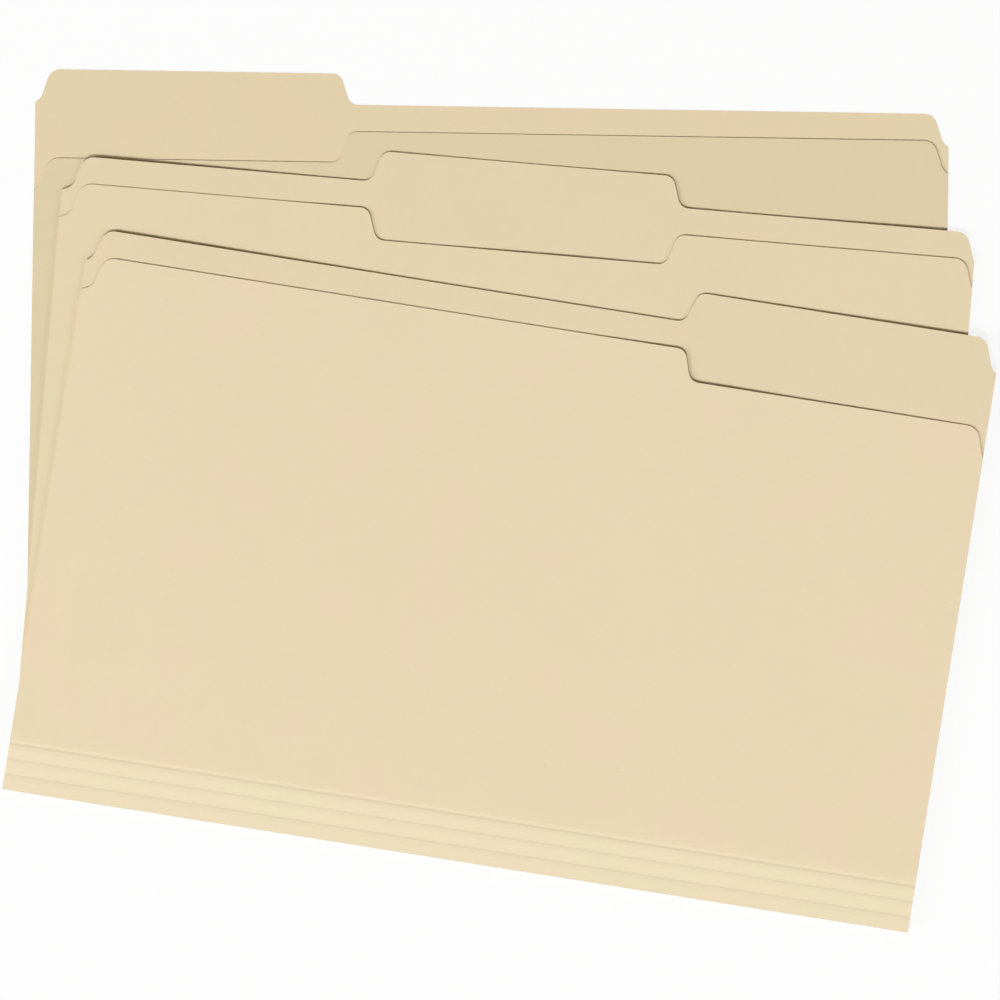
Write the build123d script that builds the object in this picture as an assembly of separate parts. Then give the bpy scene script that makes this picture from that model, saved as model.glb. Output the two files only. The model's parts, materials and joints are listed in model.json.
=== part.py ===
from build123d import *
import math
import os

# A fanned set of three legal-size manila folders, lying flat, each with its tab in another third.
# X runs along the rear folder's fold, Y from that fold to the tabs, Z up from the table.
# Millimetres and degrees throughout.

# The card, and the sheet that each folder is cut from
CARD = 0.28
WIDTH = 374.65
BACK_HEIGHT = 232.0
TAB_HEIGHT = 12.7
FRONT_DROP = 11.1
UNDERCUT = 12.7
END_TAB = 127.0
CENTRE_TAB = 123.1
CENTRE_TAB_START = 125.6

# The ogee cuts: a step beside a tab, and the shaped corner at each end of a top edge
SLANT = 72.0
STEP_RADIUS = 4.5
CORNER_RADIUS = 5.5
CORNER_DROP = 13.4
CORNER_EXIT = 25.0

# How far to the right of its place on the sheet a top edge is cut
CENTRE_CUT_SHIFT = 2.2
RIGHT_FRONT_CUT_SHIFT = 1.9

# The bottom fold, and the scores of the gusset above it
LEAF_GAP = 0.45
CREASE_CLEARANCE = 0.04
LAST_SCORE_GAP = 0.5
SCORE_COUNT = 3
SCORE_PITCH = 6.35
SCORE_WIDTH = 0.9
SCORE_DEPTH = 0.09

# How the folders lie on each other: where each fold's left end is, seen from the rear folder's,
# and how far each folder is turned
STACK_GAP = 0.25
CENTRE_SHIFT_X = -3.55
CENTRE_SHIFT_Y = -22.0
CENTRE_TURN = -4.01
RIGHT_SHIFT_X = -8.45
RIGHT_SHIFT_Y = -50.1
RIGHT_TURN = -8.1

# What cuts reach past the card
OVERCUT = 1.0

# Worked out from the sizes above. A folder's own frame has its fold axis along X at Y = 0, Z = 0.
FRONT_HEIGHT = BACK_HEIGHT - FRONT_DROP
BEAD_RADIUS = CARD + LEAF_GAP / 2
SEAT_RADIUS = BEAD_RADIUS + CREASE_CLEARANCE
NOSE_RADIUS = CARD / 2
SOCKET_RADIUS = NOSE_RADIUS + CREASE_CLEARANCE
FRONT_UNDERSIDE = LEAF_GAP / 2
FRONT_MIDDLE = FRONT_UNDERSIDE + CARD / 2
FRONT_TOP = FRONT_UNDERSIDE + CARD
GUSSET = SCORE_COUNT * SCORE_PITCH
FRONT_FOOT = GUSSET + NOSE_RADIUS + LAST_SCORE_GAP
FOLDER_PITCH = 2 * BEAD_RADIUS + STACK_GAP

# Each folder, from the table up: the ends of its tab, how far its back's and its front's top
# edges are cut to the right, and the place and turn of its fold
FOLDERS = {
    "left": ((0, END_TAB), (0, 0), (0, 0), 0),
    "centre": (
        (CENTRE_TAB_START, CENTRE_TAB_START + CENTRE_TAB),
        (CENTRE_CUT_SHIFT, CENTRE_CUT_SHIFT),
        (CENTRE_SHIFT_X, CENTRE_SHIFT_Y),
        CENTRE_TURN,
    ),
    "right": (
        (WIDTH - END_TAB, WIDTH),
        (0, RIGHT_FRONT_CUT_SHIFT),
        (RIGHT_SHIFT_X, RIGHT_SHIFT_Y),
        RIGHT_TURN,
    ),
}


def sine(degrees):
    return math.sin(math.radians(degrees))


def cosine(degrees):
    return math.cos(math.radians(degrees))


def step_edges(middle, level, rise):
    """The ogee between two levels of a top edge, centred on a place along it."""
    straight = (abs(rise) - 2 * STEP_RADIUS * (1 - cosine(SLANT))) / sine(SLANT)
    run = 2 * STEP_RADIUS * sine(SLANT) + straight * cosine(SLANT)
    turn = math.copysign(SLANT, rise)
    first = JernArc((middle - run / 2, level), (1, 0), STEP_RADIUS, turn)
    slope = Line(first @ 1, first @ 1 + (first % 1) * straight)
    last = JernArc(slope @ 1, slope % 1, STEP_RADIUS, -turn)
    return [first, slope, last]


def corner_edges(level, inset):
    """The ogee from the left side up to the top edge, which leaves a blunt point on the side.

    An inset moves the ogee away from the side; where it is negative, the side cuts the ogee short.
    """
    bend = CORNER_RADIUS * (cosine(CORNER_EXIT) - cosine(SLANT))
    crown = CORNER_RADIUS * (1 - cosine(SLANT))
    straight = (CORNER_DROP - bend - crown) / sine(SLANT)
    low = level - CORNER_DROP
    entry = CORNER_EXIT
    lead = []
    if inset > 0:
        lead = [Line((0, low - inset * sine(entry) / cosine(entry)), (inset, low))]
    if inset < 0:
        entry = math.degrees(math.asin(sine(CORNER_EXIT) - inset / CORNER_RADIUS))
        low += CORNER_RADIUS * (cosine(CORNER_EXIT) - cosine(entry))
    first = JernArc((max(inset, 0), low), (cosine(entry), sine(entry)), CORNER_RADIUS, SLANT - entry)
    slope = Line(first @ 1, first @ 1 + (first % 1) * straight)
    last = JernArc(slope @ 1, slope % 1, CORNER_RADIUS, -SLANT)
    return lead + [first, slope, last]


def leaf_face(foot, tab, cut, beside, within):
    """A leaf's outline: its foot, its level beside the tab and its level within the tab's width."""
    start, end = tab
    edges = corner_edges(within if start == 0 else beside, cut)
    for place, rise in ((start, within - beside), (end, beside - within)):
        if 0 < place < WIDTH:
            level = within if rise == beside - within else beside
            step = step_edges(place + cut, level, rise)
            edges += [Line(edges[-1] @ 1, step[0] @ 0)] + step
    right = corner_edges(within if end == WIDTH else beside, -cut)
    right = [mirror(edge, about=Plane.YZ.offset(WIDTH / 2)) for edge in right]
    edges += [Line(edges[-1] @ 1, right[-1] @ 1)] + right
    edges += [
        Line(right[0] @ 0, (WIDTH, foot)),
        Line((WIDTH, foot), (0, foot)),
        Line((0, foot), edges[0] @ 0),
    ]
    return make_face(edges)


def rod(radius, y, z, length=WIDTH):
    """A round bar along the fold's direction."""
    return Pos(WIDTH / 2, y, z) * Rot(0, 90, 0) * Cylinder(radius, length)


def rod_cut(radius, y, z):
    return rod(radius, y, z, WIDTH + 2 * OVERCUT)


def score_groove(y):
    """The shallow valley that the score leaves in the outside of the front."""
    outline = Polyline(
        (y - SCORE_WIDTH / 2, FRONT_TOP),
        (y, FRONT_TOP - SCORE_DEPTH),
        (y + SCORE_WIDTH / 2, FRONT_TOP),
        close=True,
    )
    prism = extrude(Plane.YZ * make_face(outline), WIDTH + 2 * OVERCUT, dir=(1, 0, 0))
    return Pos(-OVERCUT, 0, 0) * prism


def back_leaf(tab, cut):
    face = leaf_face(0, tab, cut, BACK_HEIGHT, BACK_HEIGHT + TAB_HEIGHT)
    sheet = extrude(Pos(0, 0, -BEAD_RADIUS) * face, CARD, dir=(0, 0, 1))
    return sheet - rod_cut(SEAT_RADIUS, 0, 0)


def fold_crease():
    return rod(BEAD_RADIUS, 0, 0)


def gusset_strip(number):
    """A strip of the gusset: its foot turns on the crease below, and its head is the next crease."""
    foot = (number - 1) * SCORE_PITCH
    head = number * SCORE_PITCH
    strip = Pos(0, foot, FRONT_UNDERSIDE) * Box(
        WIDTH, SCORE_PITCH, CARD, align=(Align.MIN, Align.MIN, Align.MIN)
    )
    strip += rod(NOSE_RADIUS, head, FRONT_MIDDLE)
    if number == 1:
        strip -= rod_cut(SEAT_RADIUS, 0, 0)
    else:
        strip -= rod_cut(SOCKET_RADIUS, foot, FRONT_MIDDLE)
        strip -= score_groove(foot)
    return strip - score_groove(head)


def front_leaf(tab, cut):
    face = leaf_face(FRONT_FOOT, tab, cut, FRONT_HEIGHT, FRONT_HEIGHT - UNDERCUT)
    return extrude(Pos(0, 0, FRONT_UNDERSIDE) * face, CARD, dir=(0, 0, 1))


def folder_place(level, shift, turn):
    """From a folder's own frame to the set's, whose origin is under the middle of the rear leaf."""
    x = shift[0] - WIDTH / 2
    y = shift[1] - BACK_HEIGHT / 2
    z = BEAD_RADIUS + level * FOLDER_PITCH
    return Pos(x, y, z) * Rot(0, 0, turn)


def folder_pieces(tab, cuts):
    back_cut, front_cut = cuts
    pieces = {"back_leaf": back_leaf(tab, back_cut), "fold_crease": fold_crease()}
    for number in range(1, SCORE_COUNT + 1):
        pieces[f"gusset_strip_{number}"] = gusset_strip(number)
    pieces["front_leaf"] = front_leaf(tab, front_cut)
    return pieces


def main():
    os.makedirs("parts", exist_ok=True)
    for level, (name, (tab, cuts, shift, turn)) in enumerate(FOLDERS.items()):
        place = folder_place(level, shift, turn)
        for piece, solid in folder_pieces(tab, cuts).items():
            export_step(place * solid, f"parts/{name}_{piece}.step")


main()
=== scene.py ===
import json
import math

import bpy
from mathutils import Matrix, Vector


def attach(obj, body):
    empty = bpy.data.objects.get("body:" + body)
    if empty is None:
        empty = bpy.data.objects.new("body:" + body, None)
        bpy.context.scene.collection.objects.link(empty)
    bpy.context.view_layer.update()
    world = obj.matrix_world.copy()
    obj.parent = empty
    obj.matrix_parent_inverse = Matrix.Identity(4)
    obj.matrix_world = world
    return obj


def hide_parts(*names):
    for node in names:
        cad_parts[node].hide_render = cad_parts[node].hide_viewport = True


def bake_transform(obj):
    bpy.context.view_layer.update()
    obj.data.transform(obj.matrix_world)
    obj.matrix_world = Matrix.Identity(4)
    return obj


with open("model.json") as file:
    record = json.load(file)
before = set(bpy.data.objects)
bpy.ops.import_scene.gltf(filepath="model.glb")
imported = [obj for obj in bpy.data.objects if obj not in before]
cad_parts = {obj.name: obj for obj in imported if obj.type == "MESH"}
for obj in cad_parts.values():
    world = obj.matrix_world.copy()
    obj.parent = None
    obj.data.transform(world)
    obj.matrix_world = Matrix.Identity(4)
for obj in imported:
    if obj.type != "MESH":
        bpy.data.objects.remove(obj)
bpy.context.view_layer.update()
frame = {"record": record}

# Three fanned manila folders, seen straight from above.
# Lengths of the folders are millimetres, as in the CAD model, and become metres where meshes are made.
MM = 0.001

# The card and the outlines, as in the CAD model
CARD = 0.28
WIDTH = 374.65
BACK_HEIGHT = 232.0
TAB_HEIGHT = 12.7
FRONT_DROP = 11.1
UNDERCUT = 12.7
END_TAB = 127.0
CENTRE_TAB = 123.1
CENTRE_TAB_START = 125.6
SLANT = 72.0
STEP_RADIUS = 4.5
CORNER_RADIUS = 5.5
CORNER_DROP = 13.4
CORNER_EXIT = 25.0
CENTRE_CUT_SHIFT = 2.2
RIGHT_FRONT_CUT_SHIFT = 1.9
LEAF_GAP = 0.45
SCORE_COUNT = 3
SCORE_PITCH = 6.35
STACK_GAP = 0.25
CENTRE_SHIFT = (-3.55, -22.0)
CENTRE_TURN = -4.01
RIGHT_SHIFT = (-8.45, -50.1)
RIGHT_TURN = -8.1

# Worked out from the sizes above
FRONT_HEIGHT = BACK_HEIGHT - FRONT_DROP
MIDDLE = (LEAF_GAP + CARD) / 2
BEAD_RADIUS = CARD + LEAF_GAP / 2
FOLDER_PITCH = 2 * BEAD_RADIUS + STACK_GAP
GUSSET = SCORE_COUNT * SCORE_PITCH

# Each folder, from the table up: the ends of its tab, how far its back's and its front's top
# edges are cut to the right, and the place and turn of its fold
FOLDERS = {
    "left": ((0, END_TAB), (0, 0), (0, 0), 0),
    "centre": (
        (CENTRE_TAB_START, CENTRE_TAB_START + CENTRE_TAB),
        (CENTRE_CUT_SHIFT, CENTRE_CUT_SHIFT),
        CENTRE_SHIFT,
        CENTRE_TURN,
    ),
    "right": ((WIDTH - END_TAB, WIDTH), (0, RIGHT_FRONT_CUT_SHIFT), RIGHT_SHIFT, RIGHT_TURN),
}

# The pressed score lines: how far the slope below a line reaches, and from the fold up, each
# line's depth and how far the slope above it reaches
SCORE_BELOW = 0.9
SCORES = ((0.07, 4.5), (0.06, 4.0), (0.105, 1.6))

# How far each leaf stands off the one below it at its top edge: an even gap, and places along the
# width, from 0 at the left side to 1 at the right, where it stands off by more or less, each with
# its spread and how much
TOP_GAPS = {
    "left_front": (0.03, ((1.00, 0.25, 0.08),)),
    "centre_back": (
        0.18,
        (
            (0.06, 0.17, 0.64),
            (0.35, 0.05, 0.12),
            (0.52, 0.10, -0.06),
            (0.68, 0.06, 0.25),
            (1.00, 0.17, 0.67),
        ),
    ),
    "centre_front": (0.04, ((0.32, 0.05, 0.28), (0.55, 0.13, 0.45), (0.90, 0.20, 0.12))),
    "right_back": (0.30, ((0.06, 0.20, 0.50), (1.00, 0.22, 0.52))),
    "right_front": (0.12, ((0.69, 0.09, 0.55), (0.85, 0.10, 0.20))),
}

# Mesh density: degrees of an arc, millimetres along a top edge, rows of a leaf, rows of a slope
# beside a score line and steps round the fold; and the angle from which an edge is sharp
ARC_STEP = 9.0
COLUMN_STEP = 9.0
LEAF_ROWS = 26
SLOPE_ROWS = 4
FOLD_STEPS = 14
SHARP_ANGLE = 50.0

# The card's colour, its warmer and cooler clouds, and what each sheet multiplies them by: painted
# shade darkens the leaves and the folds, and a painted highlight lightens the gusset strips
CARD_COLOUR = (0.815, 0.678, 0.458)
WARM_CLOUD = (0.835, 0.676, 0.465)
COOL_CLOUD = (0.795, 0.69, 0.456)
PAINTED_LIGHT_TONES = {
    # Painted shade: every leaf but the top folder's front is painted darker, the lowest front darkest
    "left_back": (0.96, 0.957, 0.925),
    "left_front": (0.908, 0.928, 0.885),
    "centre_back": (0.964, 0.976, 0.96),
    "centre_front": (0.976, 0.992, 0.972),
    "right_back": (0.97, 0.981, 0.966),
    "right_front": (1.0, 1.01, 1.02),
    # Painted highlight: the gusset strips are painted lighter than their fronts, as the light they catch
    # tilted toward the lamps
    "left_strip": (0.93, 0.95, 0.91),
    "centre_strip": (0.99, 1.005, 0.985),
    "right_strip": (1.04, 1.08, 1.097),
    # Painted shade: each fold is painted darker and greyer than the strips beside it, as shade on the
    # fold's front
    "left_fold": (0.70, 0.74, 0.80),
    "centre_fold": (0.74, 0.78, 0.87),
    "right_fold": (0.78, 0.84, 0.965),
}

# The patterns in the card: each one's scale per metre, detail and roughness
CLOUDS = (26, 3, 0.55)
FORMATION = (240, 4, 0.6)
FIBRES = (1500, 3, 0.6)
FLECKS = (420, 1, 0.4)
FIBRE_STRETCH = (0.3, 1, 1)

# What part of each pattern's values shows, how strongly, and in which colour
CLOUD_RANGE = (0.36, 0.64)
CLOUD_SHARE = 0.5
FORMATION_RANGE = (0.3, 0.7)
FORMATION_SHARE = 0.05
FORMATION_COLOUR = (1, 0.97, 0.9, 1)
FIBRE_RANGE = (0.35, 0.7)
FIBRE_SHARE = 0.06
FIBRE_COLOUR = (0.62, 0.5, 0.32, 1)
FLECK_RANGE = (0.82, 0.88)
FLECK_SHARE = 0.15
FLECK_COLOUR = (0.5, 0.37, 0.2, 1)

# The card's surface
CARD_ROUGHNESS = (0.72, 0.86)
CARD_SPECULAR = 0.3
CARD_SHEEN = 0.04
SHEEN_ROUGHNESS = 0.6
GRAIN_SHARE = 0.5
GRAIN_STRENGTH = 0.12
GRAIN_HEIGHT = 0.00004

# The stage, in metres: a floor that looks white and keeps a light shadow close to the set, and
# a world that looks white and lights the set a little
WHITE = (1, 1, 1, 1)
FLOOR_SIZE = 24.0
FLOOR_COLOUR = (0.9, 0.9, 0.9, 1)
FLOOR_WHITENESS = 0.85
FLOOR_NEAR = 0.5
FLOOR_FAR = 1.6
AMBIENT = 0.13
AMBIENT_COLOUR = (1.0, 0.75, 0.35, 1)

# The lamps: each one's direction from the set, its size in metres and its power in watts
LAMPS = {
    "key": ((-0.25, -1.0, 0.9), 2.85, 1910),
    "left": ((-1.0, -0.45, 0.5), 8.0, 1690),
    "right": ((1.0, -0.6, 0.6), 8.0, 670),
}
LAMP_DISTANCE = 16.0
LAMP_COLOUR = (0.98, 1.0, 1.06)

# The camera: the width of the picture at the top of the stack, and the point below its middle
VIEW_SPAN = 408.7
VIEW_HEIGHT = 3.2
VIEW_CENTRE = (5.7, -45.05)
VIEW_TURN = 0.9
LENS = 85.0
SENSOR = 36.0


def sine(degrees):
    return math.sin(math.radians(degrees))


def cosine(degrees):
    return math.cos(math.radians(degrees))


def arc(start, heading, radius, turn):
    """Points along an arc, without its start; a positive turn is to the left."""
    side = math.copysign(1, turn)
    centre_x = start[0] - side * radius * sine(heading)
    centre_y = start[1] + side * radius * cosine(heading)
    count = max(2, round(abs(turn) / ARC_STEP))
    points = []
    for k in range(1, count + 1):
        angle = heading + turn * k / count
        points.append((centre_x + side * radius * sine(angle), centre_y - side * radius * cosine(angle)))
    return points


def ogee(start, heading, radius, turn, straight, turn_back):
    """An S of two arcs with a straight between them, with its start."""
    points = [start] + arc(start, heading, radius, turn)
    slope = heading + turn
    x, y = points[-1]
    points.append((x + straight * cosine(slope), y + straight * sine(slope)))
    return points + arc(points[-1], slope, radius, turn_back)


def step_points(middle, level, rise):
    """The ogee between two levels of a top edge, centred on a place along it."""
    straight = (abs(rise) - 2 * STEP_RADIUS * (1 - cosine(SLANT))) / sine(SLANT)
    run = 2 * STEP_RADIUS * sine(SLANT) + straight * cosine(SLANT)
    turn = math.copysign(SLANT, rise)
    return ogee((middle - run / 2, level), 0, STEP_RADIUS, turn, straight, -turn)


def corner_points(level, inset):
    """A left corner, its ogee moved in from the side, or out where the side cuts it short."""
    bend = CORNER_RADIUS * (cosine(CORNER_EXIT) - cosine(SLANT))
    crown = CORNER_RADIUS * (1 - cosine(SLANT))
    straight = (CORNER_DROP - bend - crown) / sine(SLANT)
    low = level - CORNER_DROP
    entry = CORNER_EXIT
    lead = []
    if inset > 0:
        lead = [(0, low - inset * sine(entry) / cosine(entry))]
    if inset < 0:
        entry = math.degrees(math.asin(sine(CORNER_EXIT) - inset / CORNER_RADIUS))
        low += CORNER_RADIUS * (cosine(CORNER_EXIT) - cosine(entry))
    return lead + ogee((max(inset, 0), low), entry, CORNER_RADIUS, SLANT - entry, straight, -SLANT)


def with_middles(points):
    """The same line with points added along its long runs."""
    fuller = [points[0]]
    for (x0, y0), (x1, y1) in zip(points, points[1:]):
        count = max(1, math.ceil((x1 - x0) / COLUMN_STEP))
        for k in range(1, count + 1):
            fuller.append((x0 + (x1 - x0) * k / count, y0 + (y1 - y0) * k / count))
    return fuller


def top_edge(tab, cut, beside, within):
    """A leaf's top edge from its left side to its right, at its levels beside and within the tab."""
    start, end = tab
    line = corner_points(within if start == 0 else beside, cut)
    if start > 0:
        line += step_points(start + cut, beside, within - beside)
    if end < WIDTH:
        line += step_points(end + cut, within, beside - within)
    right = corner_points(within if end == WIDTH else beside, -cut)
    line += [(WIDTH - x, y) for x, y in reversed(right)]
    return with_middles(line)


def straight_edge(y):
    return with_middles([(0, y), (WIDTH, y)])


def folder_place(level, shift, turn):
    """From a folder's own frame, in millimetres, to the set's, in metres."""
    corner = (shift[0] - WIDTH / 2, shift[1] - BACK_HEIGHT / 2, BEAD_RADIUS + level * FOLDER_PITCH)
    scale = Matrix.Scale(MM, 4)
    return scale @ Matrix.Translation(corner) @ Matrix.Rotation(math.radians(turn), 4, "Z")


PLACES = {}
for folder_level, (folder_name, (*_, fold_shift, fold_turn)) in enumerate(FOLDERS.items()):
    PLACES[folder_name] = folder_place(folder_level, fold_shift, fold_turn)

NODE_BODY = {}
for body_name, body_nodes in frame["record"]["behaviour"]["bodies"].items():
    for node_name in body_nodes:
        NODE_BODY[node_name] = body_name


def smooth(t):
    """A soft step from 0 to 1."""
    t = min(1, max(0, t))
    return t * t * (3 - 2 * t)


def stand_off(leaf, point):
    """How much further a leaf is from the one below it than in the CAD model, at a point of the set."""
    name, side = leaf.split("_")
    x, y, _ = PLACES[name].inverted() @ point
    even, bumps = TOP_GAPS[leaf]
    across = x / WIDTH
    gap = even + sum(extra * math.exp(-(((across - place) / width) ** 2)) for place, width, extra in bumps)
    as_modelled = LEAF_GAP if side == "front" else STACK_GAP
    return (gap - as_modelled) * smooth((y - GUSSET) / (FRONT_HEIGHT - GUSSET))


def settled(leaf, point):
    """A leaf's height over its place in the CAD model: what it and the leaves below it stand off."""
    total = 0
    for below in TOP_GAPS:
        total += stand_off(below, point)
        if below == leaf:
            return total
    return 0


def score_dip(y):
    """The depth of the pressed lines at a distance from the fold."""
    dip = 0
    for k, (depth, above) in enumerate(SCORES, start=1):
        off = y - k * SCORE_PITCH
        dip += depth * (1 - smooth(off / above if off > 0 else -off / SCORE_BELOW))
    return dip


def closed_sheet(name, rows, normals):
    """A sheet of card about a grid of points, as one closed mesh in the set's frame."""
    count = len(rows[0])
    half = CARD / 2 * MM
    top = [p + n * half for row, ns in zip(rows, normals) for p, n in zip(row, ns)]
    low = [p - n * half for row, ns in zip(rows, normals) for p, n in zip(row, ns)]
    under = len(top)
    faces = []
    for j in range(len(rows) - 1):
        for i in range(count - 1):
            a = j * count + i
            quad = (a, a + 1, a + 1 + count, a + count)
            faces.append(quad)
            faces.append(tuple(under + v for v in reversed(quad)))
    first = list(range(count))
    last = [(len(rows) - 1) * count + i for i in range(count)]
    left = [j * count for j in range(len(rows))]
    right = [j * count + count - 1 for j in range(len(rows))]
    for rim, flip in ((first, False), (last, True), (left, True), (right, False)):
        for a, b in zip(rim, rim[1:]):
            quad = (a, under + a, under + b, b)
            faces.append(tuple(reversed(quad)) if flip else quad)
    mesh = bpy.data.meshes.new(name)
    mesh.from_pydata([tuple(p) for p in top + low], [], faces)
    mesh.polygons.foreach_set("use_smooth", [True] * len(mesh.polygons))
    mesh.set_sharp_from_angle(angle=math.radians(SHARP_ANGLE))
    mesh.validate()
    piece = bpy.data.objects.new(name, mesh)
    bpy.context.scene.collection.objects.link(piece)
    return piece


def panel_rows(foot, head):
    """The shares of the way up a panel where its rows of points are, denser by a score line."""
    span = head - foot
    shares = {k / LEAF_ROWS for k in range(LEAF_ROWS + 1)} if span > 2 * SCORE_PITCH else {0, 0.5, 1}
    for k, (_, above) in enumerate(SCORES, start=1):
        for step in range(-SLOPE_ROWS, SLOPE_ROWS + 1):
            y = k * SCORE_PITCH + step / SLOPE_ROWS * (above if step > 0 else SCORE_BELOW)
            if foot <= y <= head:
                shares.add((y - foot) / span)
    return sorted(shares)


def panel(name, folder, leaf, foot, edge, height):
    """A flat panel of card from a straight foot to its top edge, settled on what lies below it."""
    place = PLACES[folder]
    is_front = leaf.endswith("front")
    rows = []
    for share in panel_rows(foot, min(y for _, y in edge)):
        row = []
        for x, top in edge:
            y = foot + (top - foot) * share
            point = place @ Vector((x, y, height))
            drop = score_dip(y) if is_front else 0
            point.z += (settled(leaf, point) - drop) * MM
            row.append(point)
        rows.append(row)
    up = Vector((0, 0, 1))
    return closed_sheet(name, rows, [[up] * len(row) for row in rows])


def fold_sheet(name, folder):
    """The rounded fold that joins a folder's two leaves."""
    place = PLACES[folder]
    turn = place.to_3x3().normalized()
    rows = []
    normals = []
    for k in range(FOLD_STEPS + 1):
        angle = 90 + 180 * k / FOLD_STEPS
        out = Vector((0, cosine(angle), sine(angle)))
        rows.append([place @ (Vector((x, 0, 0)) + out * MIDDLE) for x, _ in straight_edge(0)])
        normals.append([turn @ out] * len(rows[-1]))
    return closed_sheet(name, rows[::-1], normals[::-1])


def add_node(tree, kind, **inputs):
    """A shader node with values for its inputs, whose spaces are written as underscores."""
    node = tree.nodes.new(kind)
    for socket, value in inputs.items():
        node.inputs[socket.replace("_", " ")].default_value = value
    return node


def noise(tree, vector, scale, detail, roughness):
    node = add_node(tree, "ShaderNodeTexNoise", Scale=scale, Detail=detail, Roughness=roughness)
    tree.links.new(vector, node.inputs["Vector"])
    return node.outputs["Fac"]


def spread(tree, value, low, high, to_low, to_high):
    """A value's range spread over another."""
    node = add_node(
        tree, "ShaderNodeMapRange", From_Min=low, From_Max=high, To_Min=to_low, To_Max=to_high
    )
    tree.links.new(value, node.inputs["Value"])
    return node.outputs["Result"]


def mixed(tree, factor, first, second, blend="MIX"):
    """A colour mix; the factor and the colours may be numbers, colours or links."""
    node = tree.nodes.new("ShaderNodeMix")
    node.data_type = "RGBA"
    node.blend_type = blend
    for socket, value in ((0, factor), (6, first), (7, second)):
        if isinstance(value, bpy.types.NodeSocket):
            tree.links.new(value, node.inputs[socket])
        else:
            node.inputs[socket].default_value = value
    return node.outputs[2]


def shade(colour, painted_light_tone):
    return tuple(c * t for c, t in zip(colour, painted_light_tone)) + (1,)


def manila(name, painted_light_tone):
    """Uncoated manila card: clouded colour, fine fibres and a few flecks, and a felt-like grain."""
    # The card's colour and clouds are multiplied by the sheet's tone, which is painted light: painted shade
    # on the leaves and folds, a painted highlight on the strips
    colour = shade(CARD_COLOUR, painted_light_tone)
    warm = shade(WARM_CLOUD, painted_light_tone)
    cool = shade(COOL_CLOUD, painted_light_tone)
    material = bpy.data.materials.new(name)
    material.use_nodes = True
    tree = material.node_tree
    shader = tree.nodes["Principled BSDF"]
    where = tree.nodes.new("ShaderNodeTexCoord").outputs["Object"]
    lengthwise = add_node(tree, "ShaderNodeMapping", Scale=FIBRE_STRETCH)
    tree.links.new(where, lengthwise.inputs["Vector"])
    along = lengthwise.outputs["Vector"]
    clouds = noise(tree, where, *CLOUDS)
    formation = noise(tree, where, *FORMATION)
    fibres = noise(tree, along, *FIBRES)
    flecks = noise(tree, where, *FLECKS)
    tint = mixed(tree, spread(tree, clouds, *CLOUD_RANGE, 0, 1), warm, cool)
    tint = mixed(tree, CLOUD_SHARE, colour, tint)
    pressed = spread(tree, formation, *FORMATION_RANGE, 0, FORMATION_SHARE)
    mottled = mixed(tree, pressed, tint, FORMATION_COLOUR, "MULTIPLY")
    fibred = mixed(tree, spread(tree, fibres, *FIBRE_RANGE, 0, FIBRE_SHARE), mottled, FIBRE_COLOUR)
    flecked = mixed(tree, spread(tree, flecks, *FLECK_RANGE, 0, FLECK_SHARE), fibred, FLECK_COLOUR)
    tree.links.new(flecked, shader.inputs["Base Color"])
    matt = spread(tree, formation, *FORMATION_RANGE, *CARD_ROUGHNESS)
    tree.links.new(matt, shader.inputs["Roughness"])
    shader.inputs["Specular IOR Level"].default_value = CARD_SPECULAR
    shader.inputs["Sheen Weight"].default_value = CARD_SHEEN
    shader.inputs["Sheen Roughness"].default_value = SHEEN_ROUGHNESS
    grain = mixed(tree, GRAIN_SHARE, fibres, formation)
    bump = add_node(tree, "ShaderNodeBump", Strength=GRAIN_STRENGTH, Distance=GRAIN_HEIGHT)
    tree.links.new(grain, bump.inputs["Height"])
    tree.links.new(bump.outputs["Normal"], shader.inputs["Normal"])
    return material


# One card per sheet, each carrying its painted shade or painted highlight
PAINTED_LIGHT_CARDS = {leaf: manila(f"manila_card_painted_light_{leaf}", painted_light_tone) for leaf, painted_light_tone in PAINTED_LIGHT_TONES.items()}


def finish_piece(piece, material, node):
    piece.data.materials.append(material)
    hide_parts(node)


def rigid(piece, kind, body, node):
    """A piece of card that moves with one body and stands in for one node."""
    finish_piece(piece, PAINTED_LIGHT_CARDS[kind], node)
    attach(piece, body)


def build_folder(name, tab, cuts):
    """A folder's two leaves, the strips of its gusset, and the fold between them."""
    back_cut, front_cut = cuts
    back_edge = top_edge(tab, back_cut, BACK_HEIGHT, BACK_HEIGHT + TAB_HEIGHT)
    front_edge = top_edge(tab, front_cut, FRONT_HEIGHT, FRONT_HEIGHT - UNDERCUT)
    back = panel(f"{name}_back_sheet", name, f"{name}_back", 0, back_edge, -MIDDLE)
    rigid(back, f"{name}_back", f"{name}_back", f"{name}_back_leaf")
    front = panel(f"{name}_front_sheet", name, f"{name}_front", GUSSET, front_edge, MIDDLE)
    rigid(front, f"{name}_front", f"{name}_front", f"{name}_front_leaf")
    for k in range(1, SCORE_COUNT + 1):
        head = straight_edge(k * SCORE_PITCH)
        strip = panel(f"{name}_strip_{k}_sheet", name, f"{name}_front", (k - 1) * SCORE_PITCH, head, MIDDLE)
        node = f"{name}_gusset_strip_{k}"
        # The strips' card carries a painted highlight
        rigid(strip, f"{name}_strip", NODE_BODY[node], node)
    fold = fold_sheet(f"{name}_fold_sheet", name)
    # The fold's card is painted darker and greyer, as painted shade
    finish_piece(fold, PAINTED_LIGHT_CARDS[f"{name}_fold"], f"{name}_fold_crease")
    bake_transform(fold)


for folder_name, (folder_tab, folder_cuts, *_) in FOLDERS.items():
    build_folder(folder_name, folder_tab, folder_cuts)


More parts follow.
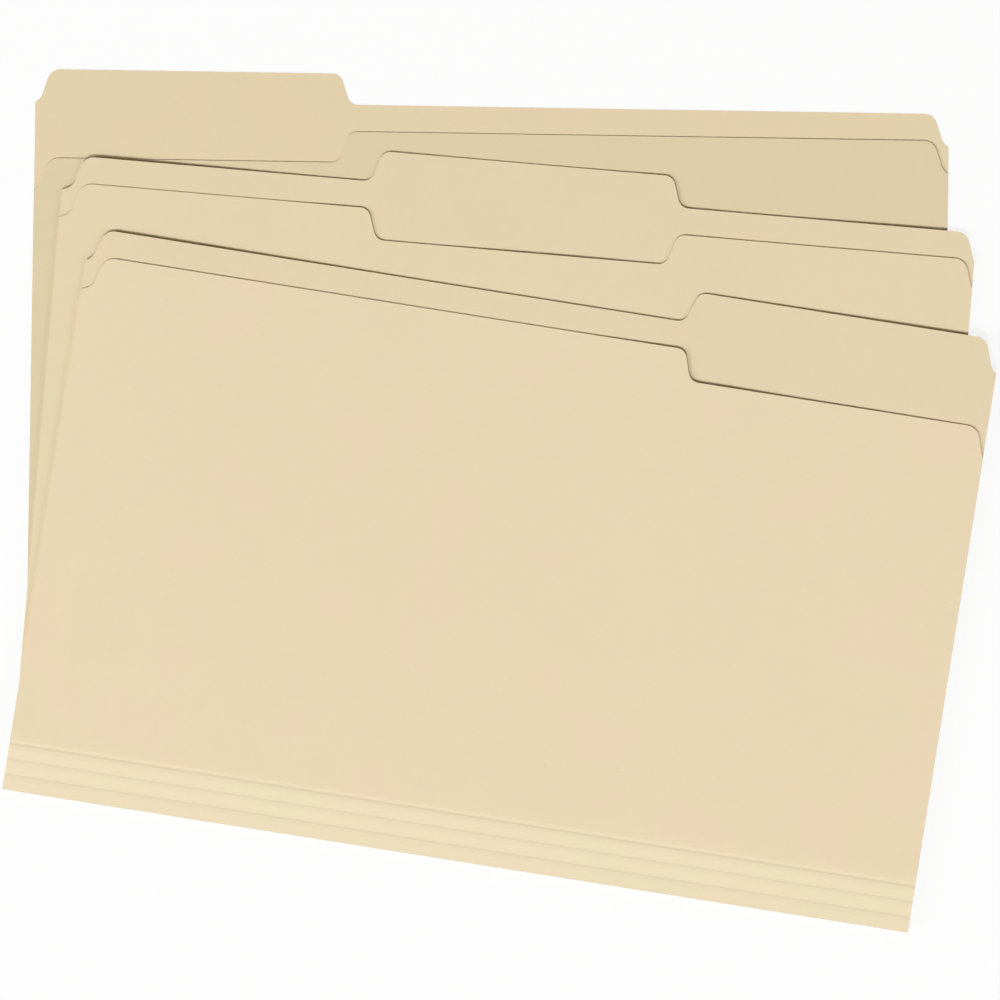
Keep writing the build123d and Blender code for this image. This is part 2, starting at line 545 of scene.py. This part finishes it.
def seen_directly(tree):
    """One for rays from the camera, a mirror or a clear body, and nought for the light's own."""
    rays = tree.nodes.new("ShaderNodeLightPath").outputs
    seen = rays["Is Camera Ray"]
    for other in ("Is Glossy Ray", "Is Transmission Ray"):
        either = tree.nodes.new("ShaderNodeMath")
        either.operation = "MAXIMUM"
        tree.links.new(seen, either.inputs[0])
        tree.links.new(rays[other], either.inputs[1])
        seen = either.outputs[0]
    return seen


def mix_shaders(tree, factor, first, second, output):
    blend = tree.nodes.new("ShaderNodeMixShader")
    tree.links.new(factor, blend.inputs[0])
    tree.links.new(first, blend.inputs[1])
    tree.links.new(second, blend.inputs[2])
    tree.links.new(blend.outputs[0], output)


def white_floor():
    """A matt floor, partly lit near the set, where it takes the shadow, and plain white further off."""
    material = bpy.data.materials.new("floor_white")
    material.use_nodes = True
    tree = material.node_tree
    lit = tree.nodes["Principled BSDF"]
    lit.inputs["Base Color"].default_value = FLOOR_COLOUR
    lit.inputs["Roughness"].default_value = 1.0
    lit.inputs["Specular IOR Level"].default_value = 0.0
    white = add_node(tree, "ShaderNodeEmission", Color=WHITE, Strength=1.0)
    where = tree.nodes.new("ShaderNodeTexCoord").outputs["Object"]
    away = tree.nodes.new("ShaderNodeVectorMath")
    away.operation = "LENGTH"
    tree.links.new(where, away.inputs[0])
    whiteness = spread(tree, away.outputs["Value"], FLOOR_NEAR, FLOOR_FAR, FLOOR_WHITENESS, 1)
    part = tree.nodes.new("ShaderNodeMath")
    part.operation = "MULTIPLY"
    tree.links.new(seen_directly(tree), part.inputs[0])
    tree.links.new(whiteness, part.inputs[1])
    output = tree.nodes["Material Output"].inputs["Surface"]
    mix_shaders(tree, part.outputs[0], lit.outputs[0], white.outputs[0], output)
    return material


bpy.ops.mesh.primitive_plane_add(size=FLOOR_SIZE, location=(0, 0, 0))
floor = bpy.context.object
floor.name = "floor"
floor.data.materials.append(white_floor())

world = bpy.data.worlds.new("studio")
world.use_nodes = True
world_tree = world.node_tree
room = world_tree.nodes["Background"]
room.inputs["Color"].default_value = AMBIENT_COLOUR
room.inputs["Strength"].default_value = AMBIENT
beyond = add_node(world_tree, "ShaderNodeBackground", Color=WHITE, Strength=1.0)
world_output = world_tree.nodes["World Output"].inputs["Surface"]
mix_shaders(world_tree, seen_directly(world_tree), room.outputs[0], beyond.outputs[0], world_output)
bpy.context.scene.world = world


def area_light(name, direction, size, watts):
    """A soft lamp that looks at the set from a direction."""
    lamp = bpy.data.lights.new(name, "AREA")
    lamp.shape = "DISK"
    lamp.size = size
    lamp.energy = watts
    lamp.color = LAMP_COLOUR
    holder = bpy.data.objects.new(name, lamp)
    way = Vector(direction).normalized()
    holder.location = way * LAMP_DISTANCE
    holder.rotation_mode = "QUATERNION"
    holder.rotation_quaternion = way.to_track_quat("Z", "Y")
    bpy.context.scene.collection.objects.link(holder)


for lamp_name, (lamp_direction, lamp_size, lamp_watts) in LAMPS.items():
    area_light(lamp_name, lamp_direction, lamp_size, lamp_watts)

camera_data = bpy.data.cameras.new("camera")
camera_data.lens = LENS
camera_data.sensor_width = SENSOR
camera = bpy.data.objects.new("camera", camera_data)
camera.location = Vector((*VIEW_CENTRE, VIEW_HEIGHT + LENS / SENSOR * VIEW_SPAN)) * MM
camera.rotation_euler = (0, 0, math.radians(VIEW_TURN))
bpy.context.scene.collection.objects.link(camera)
bpy.context.scene.camera = camera
bpy.context.scene.view_settings.view_transform = "Standard"
